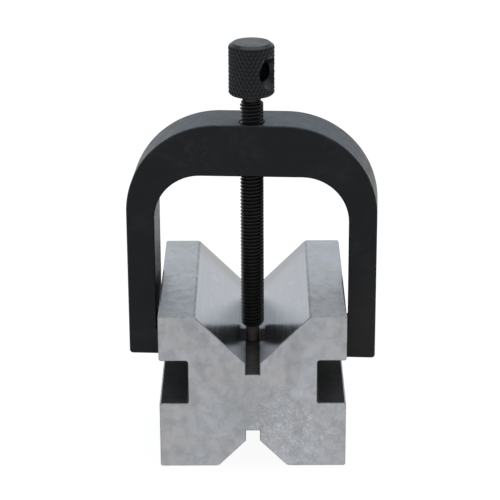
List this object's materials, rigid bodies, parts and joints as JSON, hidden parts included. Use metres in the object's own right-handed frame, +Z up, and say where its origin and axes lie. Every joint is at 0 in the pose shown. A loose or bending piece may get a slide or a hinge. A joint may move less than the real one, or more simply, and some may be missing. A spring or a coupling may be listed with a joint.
{
  "type": "v block with clamp",
  "caption": "Double-sided V block with side slots, a stirrup clamp frame hooked into them and a knurled clamp screw with a cross hole.",
  "frame": {"origin": "centre of the block's base", "axes": "+Z up, +Y along the grooves away from the front end face, +X to the right across the grooves"},
  "size_m": [0.0863, 0.073, 0.1409],
  "materials": {
    "ground_steel": "hardened and ground steel, dull on the lands and bright on the groove flanks, with black unground slots",
    "black_frame": "satin black oxide on steel",
    "black_screw": "black oxide on turned and knurled steel"
  },
  "bodies": {
    "block": {"v_block": "ground_steel"},
    "clamp": {"clamp_frame": "black_frame"},
    "screw": {"clamp_screw": "black_screw"}
  },
  "joints": [
    {"name": "clamp_slide", "type": "slide", "parent": "block", "child": "clamp", "axis": [0, 1, 0], "range_m": [-0.022, 0.052]},
    {"name": "screw_travel", "type": "slide", "parent": "clamp", "child": "screw", "axis": [0, 0, 1], "range_m": [0, 0.055]}
  ]
}
